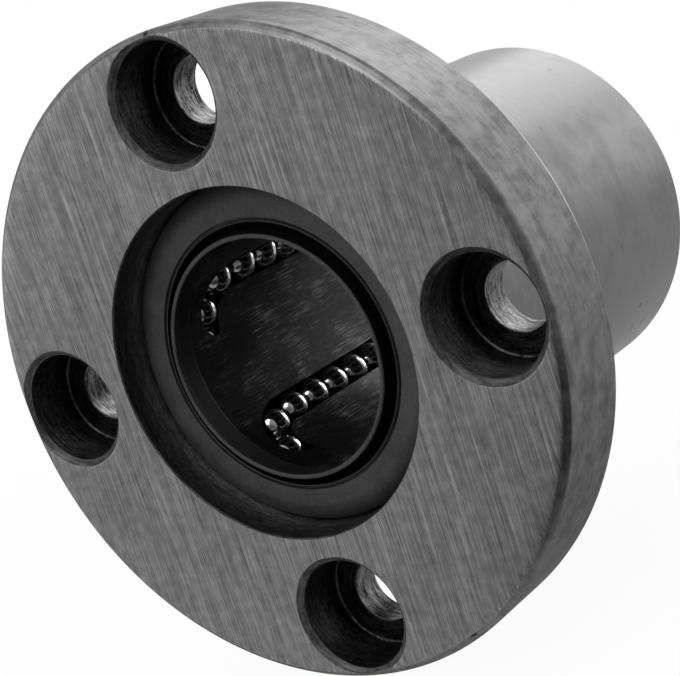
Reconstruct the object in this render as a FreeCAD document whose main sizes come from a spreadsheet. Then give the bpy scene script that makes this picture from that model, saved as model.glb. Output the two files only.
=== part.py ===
import FreeCAD, Part
import os
from enum import IntEnum
import Sketcher

# Round-flange linear ball bearing for a plain shaft, in millimetres.
# The bore axis runs along Y. The origin is the middle of the bore in the flange's seating face:
# the counterbored front of the flange looks along -Y and the ground body points along +Y.

# Driving dimensions
SIZES = {
    "shaft_dia": 20.0,
    "ball_dia": 3.175,
    "ball_gap": 0.045,
    "ball_clearance": 0.1,
    "raceway_clearance": 0.03,
    "raceway_inset": 1.6,
    "raceway_ramp": 1.8,
    "retainer_gap": 0.7,
    "retainer_running_gap": 0.25,
    "retainer_end_chamfer": 0.3,
    "retainer_end_wall": 0.8,
    "return_floor": 0.16,
    "turn_tilt": 6.0,
    "turn_headroom": 0.05,
    "seal_shoulder": 0.215,
    "sleeve_wall": 1.5,
    "bearing_len": 45.0,
    "body_end_chamfer": 0.6,
    "flange_thk": 8.0,
    "flange_front_chamfer": 0.55,
    "flange_rear_chamfer": 0.4,
    "flange_rim_wall": 0.75,
    "bolt_ledge": 0.75,
    "bolt_hole_dia": 5.5,
    "counterbore_dia": 9.5,
    "counterbore_floor": 2.9,
    "counterbore_chamfer": 0.5,
    "mouth_chamfer": 0.08,
    "mouth_lead": 0.16,
    "seal_depth": 2.7,
    "seal_thk": 2.1,
    "seal_edge": 1.2,
    "seal_groove_offset": 1.27,
    "seal_groove_width": 0.2,
    "seal_groove_depth": 0.35,
    "lip_tip": 0.4,
    "lip_rise": 0.65,
    "lip_land": 0.45,
    "lip_flare": 0.4,
    "lip_back_gap": 0.35,
    "valley_offset": 1.0,
    "valley_floor_offset": 0.72,
    "valley_depth": 1.5,
}
CIRCUITS = 5
BOLTS = 4
TURN_BALLS = 3
PAST_FACE = 1.0

# Places of the parts, all drawn from the bearing's front face
FROM_FRONT = "placement(vector(0; -dims.flange_thk; 0); rotation(vector(0; 0; 1); 0))"
FROM_REAR = "placement(vector(0; dims.bearing_len - dims.flange_thk; 0); rotation(vector(0; 0; 1); 180))"

# Sizes that follow from the driving ones
FITS = {
    "shaft_rad": "dims.shaft_dia / 2",
    "ball_rad": "dims.ball_dia / 2",
    "channel_rad": "dims.ball_dia / 2 + dims.ball_clearance",
    "ball_pitch": "dims.ball_dia + dims.ball_gap",
    "turn_rad": f"ball_pitch / (2 * sin({90 / TURN_BALLS}))",
    "loaded_rad": "shaft_rad + ball_rad",
    "raceway_rad": "dims.shaft_dia / 2 + dims.ball_dia + dims.raceway_clearance",
    "retainer_bore_rad": "shaft_rad + dims.retainer_gap",
    "retainer_rad": "raceway_rad - dims.retainer_running_gap",
    "return_rad": "retainer_bore_rad + dims.return_floor + channel_rad",
    "return_across": "(loaded_rad ^ 2 + return_rad ^ 2 - 4 * turn_rad ^ 2) / (2 * loaded_rad)",
    "return_up": "sqrt(return_rad ^ 2 - return_across ^ 2)",
    "chord_lean": "asin((loaded_rad - return_across) / (2 * turn_rad))",
    "relief_rad": "return_rad + channel_rad + dims.turn_headroom",
    "recess_rad": "relief_rad + dims.seal_shoulder",
    "recess_depth": "dims.seal_depth + dims.seal_thk",
    "body_rad": "recess_rad + dims.sleeve_wall",
    "bolt_rad": "body_rad + dims.bolt_ledge + dims.counterbore_dia / 2",
    "flange_rad": "bolt_rad + dims.counterbore_dia / 2 + dims.flange_rim_wall",
    "counterbore_depth": "dims.flange_thk - dims.counterbore_floor",
    "turn_room": "turn_rad + channel_rad + dims.retainer_end_wall",
    "row_balls": "floor((dims.bearing_len - 2 * recess_depth - 2 * turn_room) / ball_pitch)",
    "row_len": "row_balls * ball_pitch",
    "row_start": "(dims.bearing_len - row_len) / 2",
    "row_end": "(dims.bearing_len + row_len) / 2",
}


class LineEnd(IntEnum):
    """The two ends of a sketch line, as the sketcher numbers them."""

    START = 1
    END = 2


class SketchAxis(IntEnum):
    """A sketch's own axes; the horizontal one starts at the origin."""

    HORIZONTAL = -1
    VERTICAL = -2


def add_sheet(doc, name, rows):
    """A sheet with one aliased cell per row, the alias beside its value."""
    sheet = doc.addObject("Spreadsheet::Sheet", name)
    for number, (alias, text) in enumerate(rows.items(), start=1):
        sheet.set(f"A{number}", alias)
        sheet.set(f"B{number}", text)
        sheet.setAlias(f"B{number}", alias)
    doc.recompute()
    return sheet


def origin_feature(body, role):
    """One of a body's own origin planes or axes."""
    return next(item for item in body.Origin.OriginFeatures if item.Role == role)


def add_body(doc, name, placement):
    """An empty body that names its part, drawn from the bearing's front face and then placed."""
    body = doc.addObject("PartDesign::Body", name)
    body.Label = name
    body.setExpression("Placement", placement)
    return body


def pin_corner(sketch, line, across, along):
    """Fixes the start of a line at a distance across and along the axis, each an expression."""
    directions = (("DistanceX", across, SketchAxis.VERTICAL), ("DistanceY", along, SketchAxis.HORIZONTAL))
    start = LineEnd.START
    for direction, size, axis in directions:
        value = sketch.evalExpression(size)
        if value == 0:
            sketch.addConstraint(Sketcher.Constraint("PointOnObject", line, start, axis))
            continue
        index = sketch.addConstraint(
            Sketcher.Constraint(direction, SketchAxis.HORIZONTAL, start, line, start, float(value))
        )
        label = f"{direction}_{line}"
        sketch.renameConstraint(index, label)
        sketch.setExpression(f"Constraints.{label}", size)


def add_profile(body, name, corners):
    """A closed outline in the XY plane through corners given as pairs of expressions."""
    sketch = body.newObject("Sketcher::SketchObject", name)
    sketch.AttachmentSupport = (origin_feature(body, "XY_Plane"), "")
    sketch.MapMode = "FlatFace"
    points = []
    for across, along in corners:
        x, y = sketch.evalExpression(across), sketch.evalExpression(along)
        points.append(FreeCAD.Vector(float(x), float(y), 0))
    for number, point in enumerate(points):
        sketch.addGeometry(Part.LineSegment(point, points[(number + 1) % len(points)]))
    for number in range(len(points)):
        following = (number + 1) % len(points)
        sketch.addConstraint(
            Sketcher.Constraint("Coincident", number, LineEnd.END, following, LineEnd.START)
        )
    for number, (across, along) in enumerate(corners):
        pin_corner(sketch, number, across, along)
    return sketch


def add_turned_blank(body, name, corners):
    """A solid of revolution about the bore axis."""
    sketch = add_profile(body, name + "_profile", corners)
    blank = body.newObject("PartDesign::Revolution", name)
    blank.Profile = sketch
    blank.ReferenceAxis = (sketch, ["V_Axis"])
    blank.Angle = 360
    return blank


def add_ring_pattern(doc, body, name, cut, count):
    """Repeats a cut evenly about the bore axis."""
    pattern = body.newObject("PartDesign::PolarPattern", name)
    pattern.Originals = [cut]
    pattern.Axis = (origin_feature(body, "Y_Axis"), [""])
    pattern.Angle = 360
    pattern.Occurrences = count
    body.Tip = pattern
    doc.recompute()
    return pattern


def add_cut_cylinder(body, name, across, up, start, length):
    """A channel bored parallel to the bore axis."""
    cut = body.newObject("PartDesign::SubtractiveCylinder", name)
    cut.setExpression("Radius", "fits.channel_rad")
    cut.setExpression("Height", length)
    along_axis = "rotation(vector(1; 0; 0); -90)"
    cut.setExpression("Placement", f"placement(vector({across}; {start}; {up}); {along_axis})")
    return cut


def turn_placement(front):
    """Where a half turn lies: its own X points at the loaded row and its Y at the turn's crown."""
    middle_across = "(fits.loaded_rad + fits.return_across) / 2"
    middle_up = "fits.return_up / 2"
    along = "fits.row_start" if front else "fits.row_end"
    lean = "rotation(vector(0; 1; 0); -fits.chord_lean)"
    tilt = "rotation(vector(0; 0; 1); {}dims.turn_tilt)".format("" if front else "-")
    face = "rotation(vector(1; 0; -1); 180)" if front else "rotation(vector(0; 1; 0); 90)"
    return f"placement(vector({middle_across}; {along}; {middle_up}); {lean} * {tilt} * {face})"


def build_sleeve(doc):
    """Hardened sleeve with its flange in one piece: raceway bore, return grooves, seal recesses."""
    body = add_body(doc, "flanged_sleeve", FROM_FRONT)
    mouth = "fits.recess_rad + dims.mouth_chamfer"
    rear = "dims.bearing_len"
    race_front = "fits.row_start + dims.raceway_inset"
    race_rear = "fits.row_end - dims.raceway_inset"
    add_turned_blank(body, "sleeve_blank", [
        (mouth, "0"),
        ("fits.flange_rad - dims.flange_front_chamfer", "0"),
        ("fits.flange_rad", "dims.flange_front_chamfer"),
        ("fits.flange_rad", "dims.flange_thk - dims.flange_rear_chamfer"),
        ("fits.flange_rad - dims.flange_rear_chamfer", "dims.flange_thk"),
        ("fits.body_rad", "dims.flange_thk"),
        ("fits.body_rad", f"{rear} - dims.body_end_chamfer"),
        ("fits.body_rad - dims.body_end_chamfer", rear),
        (mouth, rear),
        ("fits.recess_rad", f"{rear} - dims.mouth_lead"),
        ("fits.recess_rad", f"{rear} - fits.recess_depth"),
        ("fits.relief_rad", f"{rear} - fits.recess_depth"),
        ("fits.relief_rad", f"{race_rear} + dims.raceway_ramp"),
        ("fits.raceway_rad", race_rear),
        ("fits.raceway_rad", race_front),
        ("fits.relief_rad", f"{race_front} - dims.raceway_ramp"),
        ("fits.relief_rad", "fits.recess_depth"),
        ("fits.recess_rad", "fits.recess_depth"),
        ("fits.recess_rad", "dims.mouth_lead"),
    ])
    groove = add_cut_cylinder(body, "return_groove", "fits.return_across", "fits.return_up",
                              "fits.recess_depth", f"{rear} - 2 * fits.recess_depth")
    add_ring_pattern(doc, body, "return_grooves", groove, CIRCUITS)

    # A stepped screw hole: through hole, counterbore and broken mouth, turned about its own axis
    head_rad = "fits.bolt_rad + dims.counterbore_dia / 2"
    hole_rad = "fits.bolt_rad + dims.bolt_hole_dia / 2"
    sketch = add_profile(body, "screw_hole_profile", [
        ("fits.bolt_rad", "0"),
        (f"{head_rad} + dims.counterbore_chamfer", "0"),
        (head_rad, "dims.counterbore_chamfer"),
        (head_rad, "fits.counterbore_depth"),
        (hole_rad, "fits.counterbore_depth"),
        (hole_rad, f"dims.flange_thk + {PAST_FACE}"),
        ("fits.bolt_rad", f"dims.flange_thk + {PAST_FACE}"),
    ])
    hole = body.newObject("PartDesign::Groove", "screw_hole")
    hole.Profile = sketch
    hole.ReferenceAxis = (sketch, ["Edge7"])
    hole.Angle = 360
    doc.recompute()
    add_ring_pattern(doc, body, "screw_holes", hole, BOLTS)
    return body


def build_retainer(doc):
    """Moulded cage: five endless ball tracks, each a slotted loaded run, two turns and a return."""
    body = add_body(doc, "ball_retainer", FROM_FRONT)
    front = "fits.recess_depth"
    rear = "dims.bearing_len - fits.recess_depth"
    chamfer = "dims.retainer_end_chamfer"
    add_turned_blank(body, "retainer_blank", [
        ("fits.retainer_bore_rad", front),
        (f"fits.retainer_rad - {chamfer}", front),
        ("fits.retainer_rad", f"{front} + {chamfer}"),
        ("fits.retainer_rad", f"{rear} - {chamfer}"),
        (f"fits.retainer_rad - {chamfer}", rear),
        ("fits.retainer_bore_rad", rear),
    ])
    loaded = add_cut_cylinder(body, "loaded_run", "fits.loaded_rad", "0", "fits.row_start", "fits.row_len")
    add_ring_pattern(doc, body, "loaded_runs", loaded, CIRCUITS)

    # Each loaded run is open outwards, so that its balls reach the raceway
    window = body.newObject("PartDesign::SubtractiveBox", "loaded_window")
    window.setExpression("Length", f"fits.retainer_rad - fits.loaded_rad + {PAST_FACE}")
    window.setExpression("Width", "fits.row_len")
    window.setExpression("Height", "2 * fits.channel_rad")
    window.setExpression("Placement.Base", "vector(fits.loaded_rad; fits.row_start; -fits.channel_rad)")
    add_ring_pattern(doc, body, "loaded_windows", window, CIRCUITS)

    back = add_cut_cylinder(body, "return_run", "fits.return_across", "fits.return_up",
                            "fits.row_start", "fits.row_len")
    add_ring_pattern(doc, body, "return_runs", back, CIRCUITS)
    for end, front_end in (("front", True), ("rear", False)):
        turn = body.newObject("PartDesign::SubtractiveTorus", f"{end}_turn")
        turn.setExpression("Radius1", "fits.turn_rad")
        turn.setExpression("Radius2", "fits.channel_rad")
        turn.Angle3 = 180
        turn.setExpression("Placement", turn_placement(front_end))
        add_ring_pattern(doc, body, f"{end}_turns", turn, CIRCUITS)

    # Where a straight run meets a tilted turn, a ball's own room rounds off the bend
    along_ends = (("front", "fits.row_start"), ("rear", "fits.row_end"))
    runs = (("loaded", "fits.loaded_rad", "0"), ("return", "fits.return_across", "fits.return_up"))
    for end, along in along_ends:
        for run, across, up in runs:
            bend = body.newObject("PartDesign::SubtractiveSphere", f"{run}_{end}_bend")
            bend.setExpression("Radius", "fits.channel_rad")
            bend.setExpression("Placement.Base", f"vector({across}; {along}; {up})")
            add_ring_pattern(doc, body, f"{run}_{end}_bends", bend, CIRCUITS)
    return body


def build_seal(doc, name, placement):
    """Rubber end seal: a flat ring with a thin groove, a deep valley and a lip round the shaft."""
    body = add_body(doc, name, placement)
    face = "dims.seal_depth"
    back = "fits.recess_depth"
    groove_outer = "fits.shaft_rad + dims.seal_groove_offset + dims.seal_groove_width / 2"
    groove_inner = "fits.shaft_rad + dims.seal_groove_offset - dims.seal_groove_width / 2"
    lip_top = f"{face} - dims.lip_rise"
    add_turned_blank(body, name + "_ring", [
        ("fits.recess_rad", back),
        ("fits.recess_rad", f"{face} + dims.seal_edge"),
        ("fits.recess_rad - dims.seal_edge", face),
        (groove_outer, face),
        (groove_outer, f"{face} + dims.seal_groove_depth"),
        (groove_inner, f"{face} + dims.seal_groove_depth"),
        (groove_inner, face),
        ("fits.shaft_rad + dims.valley_offset", face),
        ("fits.shaft_rad + dims.valley_floor_offset", f"{face} + dims.valley_depth"),
        ("fits.shaft_rad + dims.lip_tip", lip_top),
        ("fits.shaft_rad", lip_top),
        ("fits.shaft_rad", f"{lip_top} + dims.lip_land"),
        ("fits.shaft_rad + dims.lip_back_gap", f"{lip_top} + dims.lip_land + dims.lip_flare"),
        ("fits.shaft_rad + dims.lip_back_gap", back),
    ])
    return body


def add_ball(doc, name, across, along, up):
    """One ball at a place given by expressions."""
    ball = doc.addObject("Part::Sphere", name)
    ball.setExpression("Radius", "fits.ball_rad")
    ball.setExpression("Placement.Base", f"vector({across}; {along}; {up})")
    return ball


def build_row_balls(doc, name, across, up, row_balls):
    """The balls of one straight run, each in the middle of its share of the run."""
    balls = []
    for number in range(row_balls):
        along = f"fits.row_start + {number + 0.5} * fits.ball_pitch"
        balls.append(add_ball(doc, f"{name}_{number + 1}", across, along, up))
    return balls


def build_turn_balls(doc, name):
    """The balls of one half turn, drawn about the turn's own centre."""
    balls = []
    for number in range(TURN_BALLS):
        angle = 180 * (number + 0.5) / TURN_BALLS
        across = f"fits.turn_rad * cos({angle})"
        along = f"fits.turn_rad * sin({angle})"
        balls.append(add_ball(doc, f"{name}_{number + 1}", across, along, "0"))
    return balls


def build_circuits(doc, row_balls):
    """Every circuit's four groups of balls, turned about the bore from the first circuit."""
    groups = {
        "loaded_balls": (build_row_balls(doc, "loaded_ball", "fits.loaded_rad", "0", row_balls), None),
        "return_balls": (
            build_row_balls(doc, "return_ball", "fits.return_across", "fits.return_up", row_balls),
            None,
        ),
        "front_turn_balls": (build_turn_balls(doc, "front_turn_ball"), turn_placement(True)),
        "rear_turn_balls": (build_turn_balls(doc, "rear_turn_ball"), turn_placement(False)),
    }
    parts = []
    for circuit in range(CIRCUITS):
        spin = f"placement(vector(0; 0; 0); rotation(vector(0; 1; 0); {-360 * circuit / CIRCUITS}))"
        for group, (balls, place) in groups.items():
            name = f"{group}_{circuit + 1}"
            compound = doc.addObject("Part::Compound", name)
            compound.Label = name
            compound.Links = balls
            steps = [FROM_FRONT, spin] + ([place] if place else [])
            compound.setExpression("Placement", " * ".join(steps))
            parts.append(compound)
    return parts


def check_document(doc, parts):
    """Stops if any feature failed or a part is missing or unsound."""
    for item in doc.Objects:
        if "Invalid" in item.State or "Error" in item.State:
            raise RuntimeError(f"{item.Label} failed: {item.State}")
    for part in parts:
        if part.Shape.isNull() or not part.Shape.isValid():
            raise RuntimeError(f"{part.Label} has no sound shape")


def main():
    """Draws every part, checks it and writes a STEP file for each."""
    doc = FreeCAD.newDocument("flanged_linear_bearing")
    add_sheet(doc, "dims", {alias: str(value) for alias, value in SIZES.items()})
    fits = add_sheet(doc, "fits", {alias: "=" + text for alias, text in FITS.items()})
    parts = [
        build_sleeve(doc),
        build_retainer(doc),
        build_seal(doc, "front_seal", FROM_FRONT),
        build_seal(doc, "rear_seal", FROM_REAR),
    ]
    parts += build_circuits(doc, int(fits.get("row_balls")))
    doc.recompute()
    check_document(doc, parts)
    os.makedirs("parts", exist_ok=True)
    for part in parts:
        part.Shape.exportStep(f"parts/{part.Label}.step")
        print(f"{part.Label}: {len(part.Shape.Solids)} solids, {part.Shape.Volume:.2f} mm3")


main()
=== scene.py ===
"""Looks of a flanged linear bearing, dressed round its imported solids.

The steel sleeve and the two rubber seals are drawn again with broken edges and tool marks. The
moulded retainer and the balls keep the shapes of their solids and get their own finishes. Lengths in
the classes are in millimetres, in the bearing's own frame: Y is the bore axis, the seating face is
at zero, Z is up.
"""

import logging
from abc import ABC, abstractmethod
from dataclasses import dataclass, field
from enum import IntEnum
from functools import partial
from typing import Any

import bmesh
import bpy
import numpy as np
from mathutils import Matrix, Vector


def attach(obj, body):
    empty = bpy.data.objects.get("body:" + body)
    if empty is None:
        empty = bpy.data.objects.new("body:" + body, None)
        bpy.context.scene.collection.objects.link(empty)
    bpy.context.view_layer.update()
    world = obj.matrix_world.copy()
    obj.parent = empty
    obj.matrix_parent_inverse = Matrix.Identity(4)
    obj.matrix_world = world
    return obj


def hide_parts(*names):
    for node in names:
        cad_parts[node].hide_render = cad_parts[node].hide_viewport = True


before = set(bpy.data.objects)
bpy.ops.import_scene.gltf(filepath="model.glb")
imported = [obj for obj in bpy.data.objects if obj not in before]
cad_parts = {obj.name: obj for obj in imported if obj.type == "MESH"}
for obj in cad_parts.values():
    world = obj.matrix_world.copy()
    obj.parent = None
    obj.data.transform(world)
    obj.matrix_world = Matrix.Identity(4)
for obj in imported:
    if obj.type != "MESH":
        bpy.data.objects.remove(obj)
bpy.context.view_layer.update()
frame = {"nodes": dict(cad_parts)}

log = logging.getLogger("bearing")

MM = 0.001
BEARING = "bearing"
TOOL_PATH = "tool_path"
# Most of a noise's values lie between these two.
NOISE_SPAN = (0.3, 0.7)
# Metres within which points are welded and slivers of faces dissolved.
WELD = 2e-7
SLIVER = 1e-7

Span = tuple[float, float]
Point = tuple[float, float, float]
Colour = tuple[float, float, float, float]


def linear(code: str) -> Colour:
    """Turns an sRGB hex code into the linear colour that a shader takes.

    Args:
        code: Six hex digits after a hash.

    Returns:
        Linear red, green, blue and an alpha of one.
    """
    srgb = np.array([int(code[i:i + 2], 16) for i in (1, 3, 5)]) / 255
    value = np.where(srgb <= 0.04045, srgb / 12.92, ((srgb + 0.055) / 1.055) ** 2.4)
    return (*value.tolist(), 1.0)


def grey(level: float) -> Colour:
    """A linear grey, for a ramp or a socket that carries a plain number."""
    return (level, level, level, 1.0)


def shades(places: tuple[float, ...], *codes: str) -> list[tuple[float, Colour]]:
    """A ramp's stops: hex colours, made linear, at places along the ramp."""
    return [(place, linear(code)) for place, code in zip(places, codes)]


def mask(span: Span, top: float = 1.0) -> list[tuple[float, Colour]]:
    """A ramp's stops from nothing at the span's start to the top level at its end."""
    return [(span[0], grey(0.0)), (span[1], grey(top))]


def per_mm(*sizes: float) -> tuple[float, ...]:
    """Pattern scales, in repeats per metre, from feature sizes in millimetres."""
    return tuple(1 / (size * MM) for size in sizes)


def add_node(tree: bpy.types.NodeTree, kind: str, settings: dict[Any, Any] | None = None,
             links: dict[Any, bpy.types.bpy_struct] | None = None) -> bpy.types.Node:
    """Adds one node, sets it and links its inputs.

    Args:
        tree: Node tree that takes the node.
        kind: Blender's type name of the node, without the ShaderNode before it.
        settings: Values by name: inputs by name or number, a ramp's "stops" as pairs of place and
            colour, and otherwise the node's own settings.
        links: What feeds an input, by the input's name or number: an output socket, or a node for
            the first of its outputs that is in use.

    Returns:
        The new node.
    """
    node = tree.nodes.new(f"ShaderNode{kind}")
    for key, value in (settings or {}).items():
        if key == "stops":
            stops = node.color_ramp.elements
            for _ in range(len(value) - len(stops)):
                stops.new(0.5)
            for stop, (place, colour) in zip(stops, value):
                stop.position, stop.color = place, colour
        elif isinstance(key, int) or key in node.inputs:
            node.inputs[key].default_value = value
        else:
            setattr(node, key, value)
    for key, source in (links or {}).items():
        if isinstance(source, bpy.types.Node):
            source = next(socket for socket in source.outputs if socket.enabled)
        tree.links.new(source, node.inputs[key])
    return node


def new_material(name: str) -> tuple[bpy.types.Material, bpy.types.NodeTree]:
    """Makes an empty node material.

    Args:
        name: Name of the material.

    Returns:
        The material and its tree.
    """
    material = bpy.data.materials.new(name)
    material.use_nodes = True
    material.node_tree.nodes.clear()
    return material, material.node_tree


def add_surface(tree: bpy.types.NodeTree, settings: dict[str, Any], colour: bpy.types.Node,
                gloss: bpy.types.Node, roughness: Span, span: Span = NOISE_SPAN,
                height: bpy.types.Node | None = None, depth: float = 0.0) -> None:
    """Ends a material: its roughness, its relief, its shader and the output.

    Args:
        tree: The material's tree.
        settings: The shader's own values.
        colour: Node of the base colour.
        gloss: Node whose value sets the roughness.
        roughness: Roughness at the two ends of the span.
        span: Values of the gloss node at those ends.
        height: Node of the relief, if there is one.
        depth: Depth of the relief, in millimetres.
    """
    rough = add_node(tree, "MapRange", {"From Min": span[0], "From Max": span[1],
                                        "To Min": roughness[0], "To Max": roughness[1]},
                     {"Value": gloss})
    links = {"Base Color": colour, "Roughness": rough}
    if height is not None:
        links["Normal"] = add_node(tree, "Bump", {"Strength": 1.0, "Distance": depth * MM},
                                   {"Height": height})
    shader = add_node(tree, "BsdfPrincipled", settings, links)
    add_node(tree, "OutputMaterial", links={"Surface": shader})


@dataclass(frozen=True)
class Grain:
    """A noise: layers of detail, their harshness, and a size unless its coordinates are scaled."""

    detail: float
    harshness: float = 0.5
    size: float | None = None

    def settings(self) -> dict[str, float]:
        """The noise node's own values."""
        scale = per_mm(self.size)[0] if self.size else 1.0
        return {"Scale": scale, "Detail": self.detail, "Roughness": self.harshness}


@dataclass(frozen=True)
class Strokes:
    """A noise drawn out along Z: width and length of its strokes, its grain and its lean off Z."""

    width: float
    length: float
    grain: Grain
    lean: float = -0.03


class Finish(ABC):
    """A surface finish, which makes its own material."""

    name: str

    def material(self) -> bpy.types.Material:
        """Makes the material, with its patterns on Object coordinates.

        Returns:
            The material.
        """
        material, tree = new_material(self.name)
        self.paint(tree, add_node(tree, "TexCoord").outputs["Object"])
        return material

    @abstractmethod
    def paint(self, tree: bpy.types.NodeTree, place: bpy.types.NodeSocket) -> None:
        """Adds the finish's nodes.

        Args:
            tree: The material's empty tree.
            place: Object coordinates, in metres.
        """


@dataclass(frozen=True)
class GroundFlat(Finish):
    """Hardened bearing steel, surface ground in straight passes: grey, with fine light and dark lines.

    Real grinding lines are some hundredths of a millimetre wide. They are drawn as coarse as the
    picture can show. The roughness is that of the dark and of the light lines.
    """

    name: str = "hardened_steel_surface_ground"
    dark: str = "#6e6e6e"
    middle: str = "#9a9a9a"
    light: str = "#c8c8c8"
    nick: str = "#2c2c2c"
    scratch: str = "#d8d8d8"
    lines: Strokes = Strokes(0.085, 6.0, Grain(2.0, 0.6))
    passes: Strokes = Strokes(0.24, 20.0, Grain(3.0, 0.6))
    mottle: Strokes = Strokes(1.0, 1.0, Grain(4.0, 0.6))
    nicks: Strokes = Strokes(0.36, 1.44, Grain(2.0, 0.6))
    scratches: Strokes = Strokes(0.11, 9.0, Grain(1.0, 0.6), lean=0.4)
    pass_share: float = 0.36
    mottle_share: float = 0.24
    tone_places: Point = (0.36, 0.50, 0.65)
    nick_span: Span = (0.765, 0.80)
    scratch_span: Span = (0.74, 0.80)
    scratch_strength: float = 0.7
    roughness: Span = (0.48, 0.32)
    brushing: float = 0.35
    line_depth: float = 0.004

    def paint(self, tree: bpy.types.NodeTree, place: bpy.types.NodeSocket) -> None:
        """Mixes lines, passes and mottle to a tone, and lays scratches and nicks over it.

        Args:
            tree: The material's empty tree.
            place: Object coordinates, in metres.
        """
        add = partial(add_node, tree)
        drawn = []
        for strokes in (self.lines, self.passes, self.mottle, self.nicks, self.scratches):
            scale = per_mm(strokes.width, strokes.width, strokes.length)
            turned = add("Mapping", {"Rotation": (0.0, strokes.lean, 0.0)}, {"Vector": place})
            scaled = add("Mapping", {"Scale": scale}, {"Vector": turned})
            drawn.append(add("TexNoise", strokes.grain.settings(), {"Vector": scaled}))
        fine, passes, mottle, nick_noise, scratch_noise = drawn
        lines = add("Mix", {"data_type": "FLOAT", 0: self.pass_share}, {2: fine, 3: passes})
        worn = add("Mix", {"data_type": "FLOAT", 0: self.mottle_share}, {2: lines, 3: mottle})
        stops = shades(self.tone_places, self.dark, self.middle, self.light)
        tone = add("ValToRGB", {"stops": stops}, {"Fac": worn})
        nicks = add("ValToRGB", {"stops": mask(self.nick_span)}, {"Fac": nick_noise})
        scratches = add("ValToRGB", {"stops": mask(self.scratch_span, self.scratch_strength)},
                        {"Fac": scratch_noise})
        scored = add("Mix", {"data_type": "RGBA", 7: linear(self.scratch)}, {0: scratches, 6: tone})
        colour = add("Mix", {"data_type": "RGBA", 7: linear(self.nick)}, {0: nicks, 6: scored})
        add_surface(tree, {"Metallic": 1.0, "Anisotropic": self.brushing}, colour, lines,
                    self.roughness, height=lines, depth=self.line_depth)


@dataclass(frozen=True)
class GroundRound(Finish):
    """Hardened bearing steel, cylindrically ground: satin grey, faint rings, clouding and a few specks.

    Real rings are finer. They are drawn as coarse as the picture can show.
    """

    name: str
    dark: str
    light: str
    speck: str = "#424242"
    ring_width: float = 0.14
    ring_length: float = 7.0
    rings: Grain = Grain(2.0, 0.6)
    clouds: Grain = Grain(2.0, 0.68, 2.4)
    specks: Grain = Grain(0.0, size=1.3)
    cloud_share: float = 0.7
    tone_places: Span = (0.38, 0.60)
    speck_span: Span = (0.82, 0.86)
    edge_tint: float = 1.0
    roughness: Span = (0.29, 0.40)

    def paint(self, tree: bpy.types.NodeTree, place: bpy.types.NodeSocket) -> None:
        """Mixes clouds with rings round Y, noise fine along the axis and drawn out across it.

        Args:
            tree: The material's empty tree.
            place: Object coordinates, in metres.
        """
        add = partial(add_node, tree)
        ring_scale = per_mm(self.ring_length, self.ring_width, self.ring_length)
        ring_place = add("Mapping", {"Scale": ring_scale}, {"Vector": place})
        rings = add("TexNoise", self.rings.settings(), {"Vector": ring_place})
        clouds = add("TexNoise", self.clouds.settings(), {"Vector": place})
        mixed = add("Mix", {"data_type": "FLOAT", 0: self.cloud_share}, {2: rings, 3: clouds})
        stops = shades(self.tone_places, self.dark, self.light)
        tone = add("ValToRGB", {"stops": stops}, {"Fac": mixed})
        speck_noise = add("TexNoise", self.specks.settings(), {"Vector": place})
        specks = add("ValToRGB", {"stops": mask(self.speck_span)}, {"Fac": speck_noise})
        colour = add("Mix", {"data_type": "RGBA", 7: linear(self.speck)}, {0: specks, 6: tone})
        settings = {"Metallic": 1.0, "Specular Tint": grey(self.edge_tint)}
        add_surface(tree, settings, colour, clouds, self.roughness)


@dataclass(frozen=True)
class Turned(Finish):
    """Steel turned or drilled before hardening: torn tool rings under a dark heat-treated skin.

    Real tool rings are finer. They are drawn as coarse as the picture can show.
    """

    name: str
    dark: str
    light: str
    ring_width: float = 0.22
    ring_length: float = 1.6
    rings: Grain = Grain(3.0, 0.7)
    grain: Grain = Grain(4.0, 0.75, 0.30)
    grain_share: float = 0.35
    tone_places: Span = (0.42, 0.62)
    roughness: Span = (0.34, 0.56)
    ring_depth: float = 0.012

    def paint(self, tree: bpy.types.NodeTree, place: bpy.types.NodeSocket) -> None:
        """Rings from the piece's own attribute, the millimetres travelled along its profile.

        The noise changes fast with the path and slowly with the place, so that the rings break off.

        Args:
            tree: The material's empty tree.
            place: Object coordinates, in metres.
        """
        add = partial(add_node, tree)
        path = add("Attribute", {"attribute_name": TOOL_PATH}).outputs["Fac"]
        step = add("Math", {"operation": "DIVIDE", 1: self.ring_width}, {0: path})
        along = add("Mapping", {"Scale": per_mm(*[self.ring_length] * 3)}, {"Vector": place})
        rings = add("TexNoise", {"noise_dimensions": "4D", **self.rings.settings()},
                    {"Vector": along, "W": step})
        grain = add("TexNoise", self.grain.settings(), {"Vector": place})
        mixed = add("Mix", {"data_type": "FLOAT", 0: self.grain_share}, {2: rings, 3: grain})
        stops = shades(self.tone_places, self.dark, self.light)
        tone = add("ValToRGB", {"stops": stops}, {"Fac": mixed})
        add_surface(tree, {"Metallic": 1.0}, tone, grain, self.roughness, height=mixed,
                    depth=self.ring_depth)


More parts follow.
